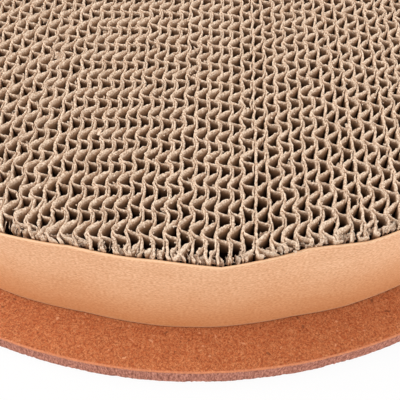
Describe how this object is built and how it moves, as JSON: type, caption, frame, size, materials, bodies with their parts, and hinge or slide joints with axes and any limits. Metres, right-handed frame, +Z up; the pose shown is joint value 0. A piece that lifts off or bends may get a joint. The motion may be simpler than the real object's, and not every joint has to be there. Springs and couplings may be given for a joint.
{
  "type": "cardboard cat scratcher",
  "caption": "Round cat scratching pad of corrugated board strips set on edge, wrapped in a kraft paper band and glued to a round fibreboard base.",
  "frame": {"origin": "centre of the base board's underside, on the surface it stands on", "axes": "+Z up through the pad, +Y along the corrugated strips towards the lap of the band, +X across the strips"},
  "size_m": [0.26, 0.26, 0.0389],
  "materials": {
    "corrugated_board": "raw kraft paper, sawn edges",
    "kraft_paper": "smooth matt kraft",
    "fibreboard": "matt pressed fibre, sawn edge",
    "adhesive": "dried white glue",
    "tissue_tape": "double-sided tissue tape"
  },
  "bodies": {
    "root": {"base_board": "fibreboard", "glue_bed": "adhesive", "wrap_band": "kraft_paper", "lap_tape": "tissue_tape", "strip_pair_01": "corrugated_board", "strip_pair_02": "corrugated_board", "strip_pair_03": "corrugated_board", "strip_pair_04": "corrugated_board", "strip_pair_05": "corrugated_board", "strip_pair_06": "corrugated_board", "strip_pair_07": "corrugated_board", "strip_pair_08": "corrugated_board", "strip_pair_09": "corrugated_board", "strip_pair_10": "corrugated_board", "strip_pair_11": "corrugated_board", "strip_pair_12": "corrugated_board", "strip_pair_13": "corrugated_board", "strip_pair_14": "corrugated_board", "strip_pair_15": "corrugated_board", "strip_pair_16": "corrugated_board", "strip_pair_17": "corrugated_board", "strip_pair_18": "corrugated_board", "strip_pair_19": "corrugated_board", "strip_pair_20": "corrugated_board", "strip_pair_21": "corrugated_board", "strip_pair_22": "corrugated_board", "strip_pair_23": "corrugated_board", "strip_pair_24": "corrugated_board", "strip_pair_25": "corrugated_board", "strip_pair_26": "corrugated_board", "strip_pair_27": "corrugated_board", "strip_pair_28": "corrugated_board", "strip_pair_29": "corrugated_board", "strip_pair_30": "corrugated_board", "strip_pair_31": "corrugated_board", "strip_pair_32": "corrugated_board", "strip_pair_33": "corrugated_board", "strip_pair_34": "corrugated_board", "strip_pair_35": "corrugated_board", "strip_pair_36": "corrugated_board", "strip_pair_37": "corrugated_board", "strip_pair_38": "corrugated_board", "strip_pair_39": "corrugated_board", "strip_pair_40": "corrugated_board", "strip_pair_41": "corrugated_board", "strip_pair_42": "corrugated_board", "strip_pair_43": "corrugated_board"}
  },
  "joints": []
}
